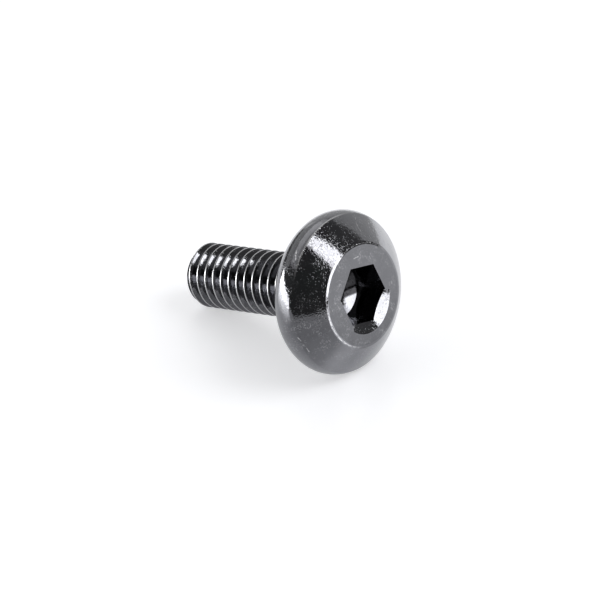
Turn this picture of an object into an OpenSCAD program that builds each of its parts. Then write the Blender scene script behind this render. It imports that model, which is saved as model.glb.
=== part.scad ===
// Button head socket screw with a wide rounded rim, lying on its rim and thread tip, in millimetres.
// The floor is z = 0, the axis lies in the XZ plane and the head looks towards +X.

/* [Thread] */
// Thread diameter over the crests
thread_d = 6; // [4:0.5:10]
// Distance from one crest to the next along the axis
pitch = 1; // [0.5:0.05:1.5]
// Length from the bearing face to the tip
length = 15; // [8:1:30]
// Length of the bevel at the tip
tip_len = 0.65; // [0.3:0.05:0.7]
// How far the collar under the head stands out past the crests
collar = 0.3; // [0.2:0.05:0.6]

/* [Head] */
// Head diameter at the widest line of the rim
head_d = 15; // [12:0.5:20]
// Head height from the bearing face to the crown
head_h = 5; // [4:0.1:7]
// Height of the widest line above the bearing face, and radius of the rim's round
rim_h = 2.05; // [1.8:0.05:2.3]
// Height of the crease between the flank and the rim
crease_h = 3.05; // [2.6:0.05:3.3]
// Radius of the flank's slight swell
flank_r = 18; // [8:1:40]
// Diameter of the flat crown
crown_d = 9.45; // [8:0.05:10.5]
// How far the crown's edge is softened to either side
crown_edge = 0.12; // [0.05:0.01:0.25]

/* [Socket] */
// Key size across the flats
key_af = 5.2; // [4:0.1:6]
// Depth of the flats below the crown
key_depth = 3; // [2:0.1:3.4]
// Slope of the cone at the bottom of the socket
floor_slope = 22; // [10:1:35]
// Diameter of the bevelled mouth on the crown
mouth_d = 6.7; // [5:0.1:8]
// Slope of the mouth's bevel
mouth_slope = 20; // [15:1:45]
// How far the bevel sits off the axis
mouth_shift = 0.25; // [0:0.05:0.4]
// Which way the bevel is off the axis
mouth_turn = 25; // [0:5:355]
// Turn of the key flats about the axis
key_turn = 16; // [0:1:59]

/* [Hidden] */
$fn = 96;

// Thread section: sixty degree flanks, flat crest and flat root
thread_r = thread_d / 2;
thread_h = 0.6134 * pitch;
root_r = thread_r - thread_h;
flank_h = thread_h * tan(30);
crest_w = pitch / 8;
tip_r = thread_r - tip_len;
collar_r = thread_r + collar;
collar_h = collar_r - root_r + 0.1;

// Rim: one round from the bearing face up to the crease
rim_x = head_d / 2 - rim_h;
crease_rise = crease_h - rim_h;
crease_run = sqrt(rim_h * rim_h - crease_rise * crease_rise);
crease_x = rim_x + crease_run;

// Flank: a shallow arc over the straight line from the crease to the crown's softened edge
crown_x = crown_d / 2;
shoulder_x = crown_x + crown_edge;
shoulder_h = head_h - crown_edge / 2;
flank_run = shoulder_x - crease_x;
flank_rise = shoulder_h - crease_h;
flank_len = norm([flank_run, flank_rise]);
flank_turn = atan2(flank_rise, flank_run);
flank_sunk = sqrt(flank_r * flank_r - flank_len * flank_len / 4);

// Turn of the head that keeps the seam of its rim beside the place it lies on
seam_turn = 2.5;

// Socket radius over the corners, and the cones at its bottom and its mouth
key_r = key_af / sqrt(3);
mouth_r = mouth_d / 2;
bevel_deep = mouth_r * tan(mouth_slope);
cone_r = 0.46 * key_af;
cone_deep = cone_r * tan(floor_slope);

// Tilt of the axis when the rim's round and a crest at a height touch the floor together
function tilt_at(z) =
    atan2(rim_x - thread_r, rim_h - z) + asin(rim_h / norm([rim_x - thread_r, rim_h - z]));

// Rest: a full crest and the one before it, on the bevel, both lie on the floor
function crest_at(t) = tip_len + (pitch - crest_w) * (1 - tan(t)) / (1 + tan(t) * tan(30)) - length;
crest_z = crest_at(tilt_at(crest_at(tilt_at(tip_len - length))));
tilt = tilt_at(crest_z);
drop = thread_r * cos(tilt) - crest_z * sin(tilt);
front = shoulder_x * sin(tilt) + shoulder_h * cos(tilt);
back = tip_r * sin(tilt) + length * cos(tilt);

// Columns to a turn, and the turns from below the tip to inside the head
turn_n = 36;
start_z = crest_z - flank_h - 3 * pitch;
turns = ceil((1.5 * pitch - start_z) / pitch);
cols = turn_n * turns;

// One point of the thread: its turn, its radius and its height
function ring_point(m, r, z) = [
    r * cos(360 * m / turn_n),
    r * sin(360 * m / turn_n),
    z
];

// Four points to a column: root, crest, crest, root
function column(m) = let (z = start_z + pitch * m / turn_n) [
    ring_point(m, root_r, z),
    ring_point(m, thread_r, z + flank_h),
    ring_point(m, thread_r, z + flank_h + crest_w),
    ring_point(m, root_r, z + 2 * flank_h + crest_w)
];

// Two triangles from the four corners of a patch
function patch(a, b, c, d) = [[a, c, b], [a, d, c]];

module thread() {
    points = [for (m = [0:cols]) for (q = column(m)) q];
    low = len(points);
    high = low + 1;
    low_z = start_z + pitch / 2;
    high_z = start_z + pitch * turns - pitch / 2 + 2 * flank_h + crest_w;
    ridge = [for (m = [0:cols - 1]) for (p = [0:2])
        each patch(4 * m + p, 4 * m + 4 + p, 4 * m + 5 + p, 4 * m + p + 1)];
    root = [for (m = [0:cols - turn_n - 1])
        each patch(4 * m + 3, 4 * m + 7, 4 * (m + turn_n) + 4, 4 * (m + turn_n))];
    under = [for (m = [0:turn_n - 1]) [low, 4 * m, 4 * m + 4]];
    over = [for (m = [cols - turn_n:cols - 1]) [high, 4 * m + 7, 4 * m + 3]];
    first = [low, 4 * turn_n, 3, 2, 1, 0];
    last = [high, 4 * (cols - turn_n) + 3, 4 * cols, 4 * cols + 1, 4 * cols + 2, 4 * cols + 3];
    polyhedron(
        points = concat(points, [[0, 0, low_z], [0, 0, high_z]]),
        faces = concat(ridge, root, under, over, [first, last]),
        convexity = 10
    );
}

// Thread cut off square and bevelled at the tip
module shank() {
    difference() {
        thread();
        rotate_extrude()
            polygon([
                [0, -length],
                [tip_r, -length],
                [tip_r + thread_d, thread_d - length],
                [tip_r + thread_d, -length - 4 * pitch],
                [0, -length - 4 * pitch]
            ]);
    }
}

// Half section of the head: crown, swelled flank, round rim and the collar where the thread runs out
module head_section() {
    polygon([
        [0, -collar_h],
        [collar_r - collar_h, -collar_h],
        [collar_r, 0],
        [rim_x, 0],
        [rim_x, rim_h],
        [crease_x, crease_h],
        [shoulder_x, shoulder_h],
        [crown_x - crown_edge, head_h],
        [0, head_h]
    ]);
    translate([rim_x, rim_h])
        intersection() {
            circle(r = rim_h);
            polygon([
                [0, 0],
                [0, -2 * rim_h],
                [2 * rim_h, -2 * rim_h],
                [2 * crease_run, 2 * crease_rise]
            ]);
        }
    translate([crease_x, crease_h])
        rotate(flank_turn)
            intersection() {
                translate([flank_len / 2, flank_sunk])
                    circle(r = flank_r);
                translate([0, -flank_len])
                    square([flank_len, flank_len]);
            }
}

// Hexagon with a cone at its bottom and a shallow bevel at its mouth
module socket() {
    rotate([0, 0, key_turn])
        translate([0, 0, head_h - key_depth])
            cylinder(r = key_r, h = key_depth + 1, $fn = 6);
    translate([0, 0, head_h - key_depth - cone_deep])
        cylinder(r1 = 0, r2 = cone_r, h = cone_deep);
    rotate([0, 0, mouth_turn])
        translate([mouth_shift, 0, head_h - bevel_deep])
            cylinder(r1 = 0, r2 = 2 * mouth_r, h = 2 * bevel_deep);
}

module screw() {
    color([0.09, 0.09, 0.1])
        translate([(back - front) / 2, 0, drop])
            rotate([0, 90 - tilt, 0])
                difference() {
                    union() {
                        rotate([0, 0, seam_turn])
                            rotate_extrude()
                                head_section();
                        shank();
                    }
                    socket();
                }
}

screw();
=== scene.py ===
"""Looks of the black button head screw: fine mesh, worn black finish, pale floor and soft studio light."""
import bmesh
import bpy
import math
from mathutils import Matrix, Vector


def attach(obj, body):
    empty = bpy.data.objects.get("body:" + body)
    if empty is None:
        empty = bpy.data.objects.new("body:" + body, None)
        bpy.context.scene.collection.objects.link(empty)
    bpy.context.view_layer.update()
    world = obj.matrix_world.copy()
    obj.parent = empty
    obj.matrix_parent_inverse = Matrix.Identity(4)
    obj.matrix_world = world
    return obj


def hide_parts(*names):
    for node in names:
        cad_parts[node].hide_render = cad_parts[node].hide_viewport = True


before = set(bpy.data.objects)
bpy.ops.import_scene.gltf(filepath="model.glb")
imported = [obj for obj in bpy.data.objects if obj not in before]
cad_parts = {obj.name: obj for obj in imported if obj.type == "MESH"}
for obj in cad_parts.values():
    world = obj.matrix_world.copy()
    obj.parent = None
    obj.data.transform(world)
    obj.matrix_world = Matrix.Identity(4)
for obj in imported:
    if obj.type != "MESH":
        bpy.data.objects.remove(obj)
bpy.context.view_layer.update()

# Sizes of the screw in millimetres, along its own axis from the bearing face
THREAD_R = 3.0
PITCH = 1.0
LENGTH = 15.0
TIP_LEN = 0.65
TIP_R = THREAD_R - TIP_LEN
THREAD_H = 0.6134 * PITCH
ROOT_R = THREAD_R - THREAD_H
CREST_W = PITCH / 8
FLANK_SLOPE = math.tan(math.radians(30))
THREAD_TOP = -0.2
COLLAR = 0.3
COLLAR_R = THREAD_R + COLLAR
COLLAR_H = COLLAR_R - ROOT_R + 0.1
HEAD_R = 7.5
HEAD_H = 5.0
RIM_H = 2.05
RIM_X = HEAD_R - RIM_H
CREASE_H = 3.05
CREASE_X = RIM_X + math.sqrt(RIM_H ** 2 - (CREASE_H - RIM_H) ** 2)
CROWN_X = 4.725
CROWN_EDGE = 0.12
SHOULDER_X = CROWN_X + CROWN_EDGE
SHOULDER_H = HEAD_H - CROWN_EDGE / 2
FLANK_R = 18.0
KEY_AF = 5.2
KEY_R = KEY_AF / math.sqrt(3)
KEY_DEPTH = 3.0
KEY_TURN = math.radians(16)
CONE_R = 0.46 * KEY_AF
FLOOR_SLOPE = math.tan(math.radians(22))
CONE_DEEP = CONE_R * FLOOR_SLOPE
MOUTH_R = 3.2
MOUTH_SLOPE = math.tan(math.radians(20))
MOUTH_SHIFT = 0.5
MOUTH_TURN = math.radians(22)


def tilt_at(z):
    """Tilt of the axis when the rim and a crest at a height both touch the floor."""
    span = Vector((RIM_X - THREAD_R, RIM_H - z))
    return math.atan2(span.x, span.y) + math.asin(RIM_H / span.length)


def crest_at(tilt):
    """Height of the last full crest when the cut crest before it touches the floor too."""
    slope = math.tan(tilt)
    return TIP_LEN + (PITCH - CREST_W) * (1 - slope) / (1 + slope * FLANK_SLOPE) - LENGTH


CREST_Z = crest_at(tilt_at(crest_at(tilt_at(TIP_LEN - LENGTH))))
TILT = tilt_at(CREST_Z)
DROP = THREAD_R * math.cos(TILT) - CREST_Z * math.sin(TILT)
FRONT = SHOULDER_X * math.sin(TILT) + SHOULDER_H * math.cos(TILT)
BACK = TIP_R * math.sin(TILT) + LENGTH * math.cos(TILT)
LIE = Matrix.Translation(((BACK - FRONT) / 2, 0, DROP)) @ Matrix.Rotation(math.pi / 2 - TILT, 4, "Y")
TO_METRES = Matrix.Scale(0.001, 4)


def arc(x, z, r, start, end, steps):
    """Points of a circle's arc, angles in radians."""
    angles = [start + (end - start) * i / steps for i in range(steps + 1)]
    return [(x + r * math.cos(a), z + r * math.sin(a)) for a in angles]


def swelled(start, end, r, steps):
    """Points of a shallow arc that swells outward between two points."""
    half = (Vector(end) - Vector(start)) / 2
    inward = Vector((half.y, -half.x)).normalized()
    centre = Vector(start) + half + inward * math.sqrt(r * r - half.length_squared)
    a, b = Vector(start) - centre, Vector(end) - centre
    return arc(centre.x, centre.y, r, math.atan2(a.y, a.x), math.atan2(b.y, b.x), steps)


def softened(points, cuts):
    """The points with the corners named in cuts rounded off inside by that much."""
    result = []
    for i, point in enumerate(points):
        cut = cuts.get(point)
        if not cut:
            result.append(point)
            continue
        corner = Vector(point)
        a = corner + (Vector(points[i - 1]) - corner).normalized() * cut
        b = corner + (Vector(points[i + 1]) - corner).normalized() * cut
        for step in range(6):
            t = step / 5
            result.append(tuple(a * (1 - t) ** 2 + corner * 2 * t * (1 - t) + b * t * t))
    return result


def chain(bm, points):
    """A string of edges in the XZ plane."""
    verts = [bm.verts.new((x, 0, z)) for x, z in points]
    edges = [bm.edges.new(pair) for pair in zip(verts, verts[1:])]
    return verts + edges


def finish_mesh(bm, name):
    bmesh.ops.remove_doubles(bm, verts=bm.verts, dist=1e-5)
    bmesh.ops.recalc_face_normals(bm, faces=bm.faces)
    mesh = bpy.data.meshes.new(name)
    bm.to_mesh(mesh)
    bm.free()
    obj = bpy.data.objects.new(name, mesh)
    bpy.context.scene.collection.objects.link(obj)
    return obj


def turned(name, points, steps):
    """A turned body: a half section spun about the axis."""
    bm = bmesh.new()
    bmesh.ops.spin(
        bm, geom=chain(bm, points), cent=(0, 0, 0), axis=(0, 0, 1), dvec=(0, 0, 0),
        angle=2 * math.pi, steps=steps, use_merge=True, use_duplicate=False,
    )
    return finish_mesh(bm, name)


def with_modifier(obj, kind, **settings):
    """The object's mesh after one modifier, kept as plain mesh."""
    modifier = obj.modifiers.new(kind, kind)
    for key, value in settings.items():
        setattr(modifier, key, value)
    depsgraph = bpy.context.evaluated_depsgraph_get()
    mesh = bpy.data.meshes.new_from_object(obj.evaluated_get(depsgraph))
    obj.modifiers.clear()
    obj.data = mesh
    return obj


def cut_away(bm, place, normal):
    """Cuts off what lies beyond a plane and closes the cut."""
    cut = bmesh.ops.bisect_plane(
        bm, geom=bm.verts[:] + bm.edges[:] + bm.faces[:], dist=1e-6, plane_co=place, plane_no=normal,
        clear_outer=True,
    )
    rim = [e for e in cut["geom_cut"] if isinstance(e, bmesh.types.BMEdge)]
    bmesh.ops.holes_fill(bm, edges=rim, sides=0)


def keep_sector(obj, start, end):
    """Cuts a body down to the part between two angles round the axis."""
    bm = bmesh.new()
    bm.from_mesh(obj.data)
    cut_away(bm, (0, 0, 0), (math.sin(start), -math.cos(start), 0))
    cut_away(bm, (0, 0, 0), (-math.sin(end), math.cos(end), 0))
    bmesh.ops.recalc_face_normals(bm, faces=bm.faces)
    bm.to_mesh(obj.data)
    bm.free()


def make_head():
    """Turned head with the key socket and its bevelled mouth cut in."""
    crown_edge = (CROWN_X - CROWN_EDGE, HEAD_H)
    shoulder = (SHOULDER_X, SHOULDER_H)
    crease = (CREASE_X, CREASE_H)
    rise = math.asin((CREASE_H - RIM_H) / RIM_H)
    section = [(0, HEAD_H), (CROWN_X - 0.4, HEAD_H), crown_edge, shoulder]
    section += swelled(shoulder, crease, FLANK_R, 16)[1:-1]
    section += [crease] + arc(RIM_X, RIM_H, RIM_H, rise, -math.pi / 2, 32)[1:]
    section += [(COLLAR_R, 0), (COLLAR_R - COLLAR_H, -COLLAR_H), (0, -COLLAR_H)]
    section = softened(section, {crown_edge: 0.04, shoulder: 0.04, crease: 0.07})
    head = turned("head", section, 256)
    bm = bmesh.new()
    top = HEAD_H + 1
    bottom = HEAD_H - KEY_DEPTH
    middle = Matrix.Translation((0, 0, (top + bottom) / 2))
    bmesh.ops.create_cone(
        bm, cap_ends=True, segments=6, radius1=KEY_R, radius2=KEY_R, depth=top - bottom,
        matrix=middle @ Matrix.Rotation(KEY_TURN - math.pi / 2, 4, "Z"),
    )
    key = finish_mesh(bm, "key_cutter")
    high = 0.5
    drill = turned(
        "drill_cutter",
        [(0, bottom + high), (CONE_R, bottom + high), (CONE_R, bottom), (0, bottom - CONE_DEEP)], 96,
    )
    mouth_top = HEAD_H + high
    mouth = turned(
        "mouth_cutter",
        [(0, mouth_top), (MOUTH_R + high / MOUTH_SLOPE, mouth_top), (0, HEAD_H - MOUTH_R * MOUTH_SLOPE)], 192,
    )
    mouth.data.transform(
        Matrix.Translation((MOUTH_SHIFT * math.cos(MOUTH_TURN), MOUTH_SHIFT * math.sin(MOUTH_TURN), 0))
    )
    keep_sector(mouth, KEY_TURN - math.pi / 3, KEY_TURN + math.pi / 3)
    for cutter in (key, drill, mouth):
        with_modifier(head, "BOOLEAN", operation="DIFFERENCE", solver="EXACT", object=cutter)
        bpy.data.objects.remove(cutter)
    return head


def thread_section(z):
    """Radius of the thread at a part of the pitch, with a softly rounded root."""
    off = abs(z - PITCH / 2) - CREST_W / 2
    r = THREAD_R - max(0.0, off) / FLANK_SLOPE
    low = ROOT_R - r
    soft = 0.06
    if low > -soft:
        r += (low + soft) ** 2 / (4 * soft) if low < soft else low
    return r


def make_thread():
    """Helical thread: its section spun one turn along the axis and repeated, with a square, bevelled tip."""
    bm = bmesh.new()
    count = 24
    steps = 96
    low = CREST_Z - 3.5 * PITCH + CREST_W / 2
    section = [(thread_section(PITCH * i / count), low + PITCH * i / count) for i in range(count + 1)]
    bmesh.ops.spin(
        bm, geom=chain(bm, section), cent=(0, 0, 0), axis=(0, 0, 1), dvec=(0, 0, PITCH / steps),
        angle=2 * math.pi, steps=steps, use_merge=False, use_duplicate=False,
    )
    turn = bm.verts[:] + bm.edges[:] + bm.faces[:]
    for k in range(1, 18):
        copy = bmesh.ops.duplicate(bm, geom=turn)["geom"]
        verts = [v for v in copy if isinstance(v, bmesh.types.BMVert)]
        bmesh.ops.translate(bm, vec=(0, 0, PITCH * k), verts=verts)
    bmesh.ops.remove_doubles(bm, verts=bm.verts, dist=1e-4)
    for v in bm.verts:
        r = math.hypot(v.co.x, v.co.y)
        limit = max(TIP_R, TIP_R + LENGTH + v.co.z)
        if r > limit:
            v.co.x *= limit / r
            v.co.y *= limit / r
    cut_away(bm, (0, 0, -LENGTH), (0, 0, -1))
    cut_away(bm, (0, 0, THREAD_TOP), (0, 0, 1))
    return finish_mesh(bm, "thread")


def smooth_by_angle(obj, degrees):
    bm = bmesh.new()
    bm.from_mesh(obj.data)
    for face in bm.faces:
        face.smooth = True
    for edge in bm.edges:
        edge.smooth = len(edge.link_faces) == 2 and edge.calc_face_angle(0) < math.radians(degrees)
    bm.to_mesh(obj.data)
    bm.free()


head = make_head()
thread = make_thread()
bm = bmesh.new()
bm.from_mesh(head.data)
bm.from_mesh(thread.data)
bpy.data.objects.remove(head)
bpy.data.objects.remove(thread)
bmesh.ops.transform(bm, matrix=TO_METRES @ LIE, verts=bm.verts)
mesh = bpy.data.meshes.new("screw")
bm.to_mesh(mesh)
bm.free()
screw = bpy.data.objects.new("screw_body", mesh)
bpy.context.scene.collection.objects.link(screw)
smooth_by_angle(screw, 16)
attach(screw, "root")
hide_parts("screw")


def feed(tree, socket, value):
    """Sets a socket to a constant or links it."""
    if isinstance(value, (int, float, tuple)):
        socket.default_value = value
    else:
        tree.links.new(value, socket)


def math_node(tree, operation, a, b=None, c=None, clamp=False):
    node = tree.nodes.new("ShaderNodeMath")
    node.operation = operation
    node.use_clamp = clamp
    for socket, value in zip(node.inputs, (a, b, c)):
        if value is not None:
            feed(tree, socket, value)
    return node.outputs[0]


def vector_node(tree, operation, a, b, output="Vector"):
    node = tree.nodes.new("ShaderNodeVectorMath")
    node.operation = operation
    feed(tree, node.inputs[0], a)
    feed(tree, node.inputs[1], b)
    return node.outputs[output]


def ramp(tree, value, low, high):
    """A smooth step from 0 at low to 1 at high."""
    node = tree.nodes.new("ShaderNodeMapRange")
    node.interpolation_type = "SMOOTHSTEP"
    feed(tree, node.inputs["Value"], value)
    feed(tree, node.inputs["From Min"], low)
    feed(tree, node.inputs["From Max"], high)
    return node.outputs["Result"]


def noise(tree, vector, scale, detail=2.0, roughness=0.5):
    node = tree.nodes.new("ShaderNodeTexNoise")
    node.inputs["Scale"].default_value = scale
    node.inputs["Detail"].default_value = detail
    node.inputs["Roughness"].default_value = roughness
    tree.links.new(vector, node.inputs["Vector"])
    return node.outputs["Fac"]


def mix_value(tree, fac, a, b):
    node = tree.nodes.new("ShaderNodeMix")
    node.data_type = "FLOAT"
    for socket, value in zip((node.inputs[0], node.inputs[2], node.inputs[3]), (fac, a, b)):
        feed(tree, socket, value)
    return node.outputs[0]


def mix_colour(tree, fac, a, b):
    node = tree.nodes.new("ShaderNodeMix")
    node.data_type = "RGBA"
    for socket, value in zip((node.inputs[0], node.inputs[6], node.inputs[7]), (fac, a, b)):
        feed(tree, socket, value)
    return node.outputs[2]


def group(name, inputs, outputs):
    tree = bpy.data.node_groups.new(name, "ShaderNodeTree")
    for socket, kind in inputs:
        tree.interface.new_socket(socket, in_out="INPUT", socket_type=kind)
    for socket, kind in outputs:
        tree.interface.new_socket(socket, in_out="OUTPUT", socket_type=kind)
    return tree, tree.nodes.new("NodeGroupInput"), tree.nodes.new("NodeGroupOutput")


def use(tree, group_tree, **links):
    node = tree.nodes.new("ShaderNodeGroup")
    node.node_tree = group_tree
    for key, value in links.items():
        feed(tree, node.inputs[key.replace("_", " ")], value)
    return node


def axis_place_group():
    """Place, radius and height along the screw's own axis, in millimetres, of a place on the lying screw."""
    tree, gin, gout = group(
        "axis_place", [("Vector", "NodeSocketVector")],
        [("Place", "NodeSocketVector"), ("Radius", "NodeSocketFloat"), ("Height", "NodeSocketFloat")],
    )
    shift = tree.nodes.new("ShaderNodeVectorMath")
    shift.operation = "MULTIPLY_ADD"
    shift.inputs[1].default_value = (1000, 1000, 1000)
    shift.inputs[2].default_value = tuple(-LIE.to_translation())
    tree.links.new(gin.outputs[0], shift.inputs[0])
    turn = tree.nodes.new("ShaderNodeVectorRotate")
    turn.rotation_type = "Y_AXIS"
    turn.inputs["Angle"].default_value = TILT - math.pi / 2
    tree.links.new(shift.outputs[0], turn.inputs["Vector"])
    parts = tree.nodes.new("ShaderNodeSeparateXYZ")
    tree.links.new(turn.outputs[0], parts.inputs[0])
    flat = vector_node(tree, "MULTIPLY", turn.outputs[0], (1, 1, 0))
    tree.links.new(turn.outputs[0], gout.inputs["Place"])
    tree.links.new(vector_node(tree, "LENGTH", flat, (0, 0, 0), "Value"), gout.inputs["Radius"])
    tree.links.new(parts.outputs[2], gout.inputs["Height"])
    return tree


def ring_wear_group():
    """Mask of a worn line round the axis: near one radius and height, on one side, broken up by noise."""
    tree, gin, gout = group(
        "ring_wear",
        [("Place", "NodeSocketVector"), ("Radius", "NodeSocketFloat"), ("Height", "NodeSocketFloat"),
         ("Ring Radius", "NodeSocketFloat"), ("Ring Height", "NodeSocketFloat"), ("Width", "NodeSocketFloat"),
         ("Side", "NodeSocketVector"), ("Grain", "NodeSocketFloat")],
        [("Mask", "NodeSocketFloat")],
    )
    o = gin.outputs
    dr = math_node(tree, "SUBTRACT", o["Radius"], o["Ring Radius"])
    dh = math_node(tree, "SUBTRACT", o["Height"], o["Ring Height"])
    squares = math_node(tree, "ADD", math_node(tree, "POWER", dr, 2), math_node(tree, "POWER", dh, 2))
    far = math_node(tree, "SQRT", squares)
    uneven = math_node(tree, "SUBTRACT", noise(tree, o["Place"], 2.4, 4, 0.65), 0.5)
    rough = math_node(tree, "MULTIPLY", uneven, o["Grain"])
    close = math_node(tree, "SUBTRACT", 1, math_node(tree, "DIVIDE", far, o["Width"]))
    line = ramp(tree, math_node(tree, "ADD", close, rough), 0.0, 0.6)
    towards = vector_node(tree, "DOT_PRODUCT", o["Place"], o["Side"], "Value")
    way = math_node(tree, "DIVIDE", towards, o["Radius"])
    tree.links.new(math_node(tree, "MULTIPLY", line, ramp(tree, way, 0.74, 0.94)), gout.inputs["Mask"])
    return tree


def scratch_group():
    """Mask of one scratch: near the line between two places, broken up by noise."""
    tree, gin, gout = group(
        "scratch",
        [("Place", "NodeSocketVector"), ("Start", "NodeSocketVector"), ("End", "NodeSocketVector"),
         ("Width", "NodeSocketFloat")],
        [("Mask", "NodeSocketFloat")],
    )
    o = gin.outputs
    along = vector_node(tree, "SUBTRACT", o["End"], o["Start"])
    reach = vector_node(tree, "SUBTRACT", o["Place"], o["Start"])
    part = math_node(
        tree, "DIVIDE", vector_node(tree, "DOT_PRODUCT", reach, along, "Value"),
        vector_node(tree, "DOT_PRODUCT", along, along, "Value"), clamp=True,
    )
    foot = tree.nodes.new("ShaderNodeVectorMath")
    foot.operation = "SCALE"
    tree.links.new(along, foot.inputs[0])
    tree.links.new(part, foot.inputs["Scale"])
    gap = vector_node(tree, "SUBTRACT", reach, foot.outputs[0])
    far = vector_node(tree, "LENGTH", gap, (0, 0, 0), "Value")
    close = math_node(tree, "SUBTRACT", 1, math_node(tree, "DIVIDE", far, o["Width"]))
    uneven = math_node(tree, "SUBTRACT", noise(tree, o["Place"], 6.0, 3, 0.7), 0.5)
    line = math_node(tree, "ADD", close, math_node(tree, "MULTIPLY", uneven, 4.0))
    tree.links.new(ramp(tree, line, 0.2, 0.9), gout.inputs["Mask"])
    return tree


def skin_group():
    """Height of fine grain and, away from the axis, small pits, in millimetres, and a mask of dusty scuffs."""
    tree, gin, gout = group(
        "skin", [("Place", "NodeSocketVector"), ("Radius", "NodeSocketFloat")],
        [("Height", "NodeSocketFloat"), ("Dust", "NodeSocketFloat")],
    )
    place = gin.outputs["Place"]
    soft = math_node(tree, "MULTIPLY", noise(tree, place, 2.6, 1, 0.5), 0.005)
    fine = math_node(tree, "MULTIPLY", noise(tree, place, 6.0, 1, 0.5), 0.006)
    outside = ramp(tree, gin.outputs["Radius"], KEY_AF / 2 + 0.1, KEY_AF / 2 + 0.4)
    patch = math_node(tree, "MULTIPLY", ramp(tree, noise(tree, place, 0.7, 2), 0.30, 0.55), outside)
    pits = math_node(tree, "MULTIPLY", ramp(tree, noise(tree, place, 6.2, 1), 0.60, 0.70), patch)
    grain = math_node(tree, "ADD", soft, fine)
    dents = math_node(tree, "MULTIPLY", pits, 0.006)
    tree.links.new(math_node(tree, "SUBTRACT", grain, dents), gout.inputs["Height"])
    scuffs = ramp(tree, noise(tree, place, 0.8, 5, 0.7), 0.44, 0.66)
    specks = ramp(tree, noise(tree, place, 6.5, 2, 0.7), 0.48, 0.66)
    tree.links.new(math_node(tree, "MULTIPLY", scuffs, specks), gout.inputs["Dust"])
    return tree


# Scratches on the head, each from one place to another along the screw's own axes, with its width
SCRATCHES = (
    ((-6.05, -4.40, 2.46), (-5.40, -5.03, 2.74), 0.07),
    ((-6.33, 2.72, 3.37), (-5.90, 2.23, 3.87), 0.05),
    ((-5.90, 2.23, 3.87), (-5.32, 2.07, 4.33), 0.05),
    ((-4.40, 1.80, 4.98), (-4.15, 2.40, 4.96), 0.09),
    ((-3.64, -0.13, 5.00), (-3.59, 0.47, 5.00), 0.07),
    ((1.26, -7.15, 3.01), (1.60, -7.00, 3.15), 0.07),
    ((2.50, -6.60, 3.24), (2.90, -6.40, 3.24), 0.06),
)


# How bare each kind of wear leaves the metal, from 0 to 1
CREASE_WEAR = 0.6
CROWN_WEAR = 0.4
SCRATCH_WEAR = 0.6
CREST_WEAR = 0.7


def worn_mask(tree, where, radius, height):
    """Mask of bare metal on the crease, the crown's edge, the scratches and the thread's crests."""
    ring = ring_wear_group()
    crease = use(
        tree, ring, Place=where, Radius=radius, Height=height, Ring_Radius=CREASE_X,
        Ring_Height=CREASE_H, Width=0.10, Side=(-0.94, -0.34, 0), Grain=1.0,
    )
    worn = math_node(tree, "MULTIPLY", crease.outputs["Mask"], CREASE_WEAR)
    for side in ((-0.94, 0.34, 0), (0.5, -0.87, 0)):
        edge = use(
            tree, ring, Place=where, Radius=radius, Height=height, Ring_Radius=CROWN_X,
            Ring_Height=HEAD_H, Width=0.06, Side=side, Grain=3.6,
        )
        bare = math_node(tree, "MULTIPLY", edge.outputs["Mask"], CROWN_WEAR)
        worn = math_node(tree, "MAXIMUM", worn, bare)
    scratch = scratch_group()
    for start, end, width in SCRATCHES:
        mark = use(tree, scratch, Place=where, Start=start, End=end, Width=width)
        bare = math_node(tree, "MULTIPLY", mark.outputs["Mask"], SCRATCH_WEAR)
        worn = math_node(tree, "MAXIMUM", worn, bare)
    below_head = math_node(tree, "LESS_THAN", height, -0.1)
    crests = math_node(tree, "MULTIPLY", ramp(tree, radius, THREAD_R - 0.05, THREAD_R), below_head)
    return math_node(tree, "MAXIMUM", worn, math_node(tree, "MULTIPLY", crests, CREST_WEAR))


def socket_masks(tree, where, radius, height):
    """Masks of the socket's inside, and of painted shade on its floor, which leaves out the lower side."""
    near_axis = ramp(tree, radius, KEY_AF / 2 + 0.3, KEY_AF / 2)
    inside = math_node(tree, "MULTIPLY", near_axis, math_node(tree, "GREATER_THAN", height, 0.0))
    parts = tree.nodes.new("ShaderNodeSeparateXYZ")
    tree.links.new(where, parts.inputs[0])
    unshaded_side = ramp(tree, parts.outputs["X"], 0.95, 1.20)
    key_floor = HEAD_H - KEY_DEPTH
    on_floor = math_node(tree, "MULTIPLY", inside, ramp(tree, height, key_floor + 0.15, key_floor + 0.05))
    # Painted shade: the socket's floor is darkened, all but its lower side
    socket_painted_shade = math_node(tree, "MULTIPLY", on_floor, math_node(tree, "SUBTRACT", 1, unshaded_side))
    return inside, socket_painted_shade


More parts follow.
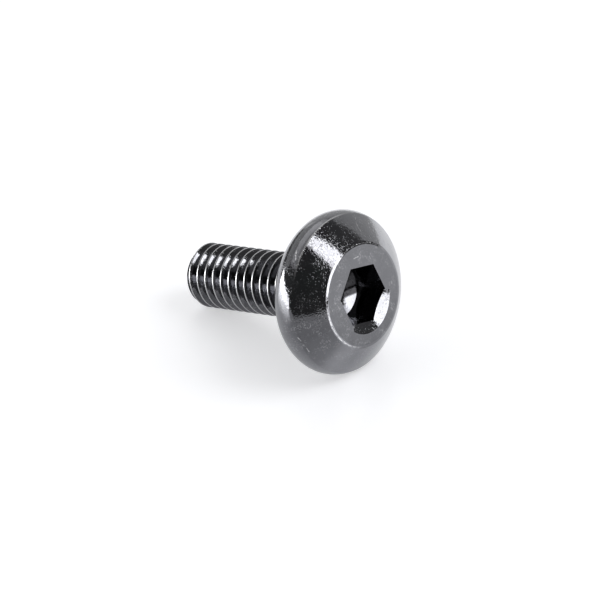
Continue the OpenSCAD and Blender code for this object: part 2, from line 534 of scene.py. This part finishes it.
def black_steel():
    """Black finish that mirrors more at a slant, with grain, dust, painted shade on the socket's floor and
    worn places.
    """
    material = bpy.data.materials.new("black_steel")
    material.use_nodes = True
    tree = material.node_tree
    tree.nodes.clear()
    out = tree.nodes.new("ShaderNodeOutputMaterial")
    shader = tree.nodes.new("ShaderNodeBsdfPrincipled")
    tree.links.new(shader.outputs[0], out.inputs["Surface"])
    coords = tree.nodes.new("ShaderNodeTexCoord")
    place = use(tree, axis_place_group(), Vector=coords.outputs["Object"])
    where = place.outputs["Place"]
    radius = place.outputs["Radius"]
    height = place.outputs["Height"]
    worn = worn_mask(tree, where, radius, height)
    inside, socket_painted_shade = socket_masks(tree, where, radius, height)
    skin = use(tree, skin_group(), Place=where, Radius=radius)
    dust = skin.outputs["Dust"]
    mottle = noise(tree, where, 0.9, 3, 0.6)

    slant = tree.nodes.new("ShaderNodeLayerWeight")
    slant.inputs["Blend"].default_value = 0.5
    facing = slant.outputs["Facing"]
    gloss = mix_value(tree, mottle, facing, math_node(tree, "ADD", facing, 0.10))
    base = mix_colour(tree, gloss, (0.055, 0.055, 0.060, 1), (0.370, 0.374, 0.395, 1))
    base = mix_colour(tree, math_node(tree, "MULTIPLY", dust, 0.40), base, (0.50, 0.50, 0.52, 1))
    # Painted shade: the socket's floor turns almost black, all but its lower side
    base = mix_colour(tree, socket_painted_shade, base, (0.012, 0.012, 0.013, 1))
    base = mix_colour(tree, worn, base, (0.60, 0.60, 0.61, 1))
    tree.links.new(base, shader.inputs["Base Color"])
    shader.inputs["Metallic"].default_value = 1.0
    dull = math_node(tree, "MAXIMUM", worn, math_node(tree, "MULTIPLY", dust, 0.6))
    roughness = mix_value(tree, dull, mix_value(tree, mottle, 0.05, 0.08), 0.40)
    tree.links.new(roughness, shader.inputs["Roughness"])

    # The grain is fainter on the crown and almost gone in the socket
    bump = tree.nodes.new("ShaderNodeBump")
    bump.inputs["Strength"].default_value = 1.0
    bump.inputs["Distance"].default_value = 0.001
    depth = mix_value(tree, ramp(tree, height, HEAD_H - 0.06, HEAD_H - 0.02), 1.0, 0.45)
    depth = mix_value(tree, inside, depth, 0.15)
    tree.links.new(math_node(tree, "MULTIPLY", skin.outputs["Height"], depth), bump.inputs["Height"])
    tree.links.new(bump.outputs[0], shader.inputs["Normal"])
    return material


screw.data.materials.clear()
screw.data.materials.append(black_steel())

# Camera: the photo's angle, with the bearing face's middle where the photo has it
AZIMUTH = math.radians(40.899)
ELEVATION = math.radians(32.095)
RIGHT = Vector((math.cos(AZIMUTH), math.sin(AZIMUTH), 0))
BACKWARD = Vector((
    math.sin(AZIMUTH) * math.cos(ELEVATION), -math.cos(AZIMUTH) * math.cos(ELEVATION), math.sin(ELEVATION),
))
UP = BACKWARD.cross(RIGHT)
# That middle lies this far to the right of the view's centre, above it and away from the camera, in metres
SEEN = (0.0020436, 0.0009335, 0.36218)
camera = bpy.data.objects.new("camera", bpy.data.cameras.new("camera"))
camera.data.sensor_width = 36
camera.data.lens = 240
camera.data.clip_start = 0.01
camera.data.clip_end = 20
eye = LIE.to_translation() * 0.001 - RIGHT * SEEN[0] - UP * SEEN[1] + BACKWARD * SEEN[2]
turn = Matrix((RIGHT, UP, BACKWARD)).transposed().to_4x4()
camera.matrix_world = Matrix.Translation(eye) @ turn
bpy.context.scene.collection.objects.link(camera)
bpy.context.scene.camera = camera


def soft_box(name, place, towards, size, radiance, glossy=True, diffuse=True):
    """A soft box at a place, facing another, which can be kept out of mirrored or of plain light."""
    light = bpy.data.lights.new(name, "AREA")
    light.shape = "RECTANGLE"
    light.size, light.size_y = size
    light.energy = radiance * math.pi * size[0] * size[1]
    obj = bpy.data.objects.new(name, light)
    z = (Vector(place) - Vector(towards)).normalized()
    x = Vector((0, 0, 1)).cross(z)
    x = x.normalized() if x.length > 1e-3 else Vector((1, 0, 0))
    obj.matrix_world = Matrix.Translation(place) @ Matrix((x, z.cross(x), z)).transposed().to_4x4()
    obj.visible_glossy = glossy
    obj.visible_diffuse = diffuse
    bpy.context.scene.collection.objects.link(obj)


# A tall strip at the right, a low window at the left, a pale wall behind, a dim wall at the left, a light
# overhead, and a key light that casts the main shadow but isn't mirrored
soft_box("tall_strip", (0.43, 0.135, 0.57), (0, 0, 0.57), (0.24, 1.08), 8.5, diffuse=False)
soft_box("low_window", (-0.40, -0.55, 0.095), (0, 0, 0.095), (0.9, 0.19), 9.0)
soft_box("back_wall", (-0.68, 0.70, 0.38), (-0.68, 0, 0.38), (1.8, 0.75), 0.50)
soft_box("left_wall", (-0.8, 0.0, 0.75), (0, 0, 0), (1.3, 1.1), 0.42)
soft_box("overhead", (-0.38, 0.0, 0.85), (-0.38, 0.0, 0), (0.8, 1.5), 0.82, diffuse=False)
soft_box("key_light", (0.52, 0.39, 0.70), (0, 0, 0), (0.7, 0.7), 2.4, glossy=False)

floor_mesh = bpy.data.meshes.new("floor")
bm = bmesh.new()
bmesh.ops.create_grid(bm, x_segments=1, y_segments=1, size=3)
bm.to_mesh(floor_mesh)
bm.free()
floor = bpy.data.objects.new("floor", floor_mesh)
bpy.context.scene.collection.objects.link(floor)
paint = bpy.data.materials.new("floor_paint")
paint.use_nodes = True
tree = paint.node_tree
shader = tree.nodes["Principled BSDF"]
shader.inputs["Base Color"].default_value = (0.780, 0.787, 0.815, 1)
shader.inputs["Roughness"].default_value = 0.25
shader.inputs["Specular IOR Level"].default_value = 0.5
shader.inputs["Emission Color"].default_value = (1, 1, 1, 1)
# The floor is white to the camera; mirrored in the metal it glows less near the screw than far away, a painted
# shade round the screw
path = tree.nodes.new("ShaderNodeLightPath")
spot = tree.nodes.new("ShaderNodeTexCoord").outputs["Object"]
away = vector_node(tree, "LENGTH", spot, (0, 0, 0), "Value")
# Painted shade: the floor's mirrored glow drops near the screw
mirrored = mix_value(tree, ramp(tree, away, 0.008, 0.065), 0.23, 0.64)
seen = math_node(tree, "MULTIPLY", path.outputs["Is Camera Ray"], 0.42)
glow = mix_value(tree, path.outputs["Is Glossy Ray"], seen, mirrored)
tree.links.new(glow, shader.inputs["Emission Strength"])
floor_mesh.materials.append(paint)

world = bpy.data.worlds.new("studio")
bpy.context.scene.world = world
world.use_nodes = True
tree = world.node_tree
sky = tree.nodes["Background"]
path = tree.nodes.new("ShaderNodeLightPath")
room = mix_value(tree, path.outputs["Is Glossy Ray"], 0.34, 0.15)
tree.links.new(mix_value(tree, path.outputs["Is Camera Ray"], room, 1.0), sky.inputs["Strength"])
sky.inputs["Color"].default_value = (1, 1, 1, 1)

bpy.context.scene.view_settings.view_transform = "Standard"
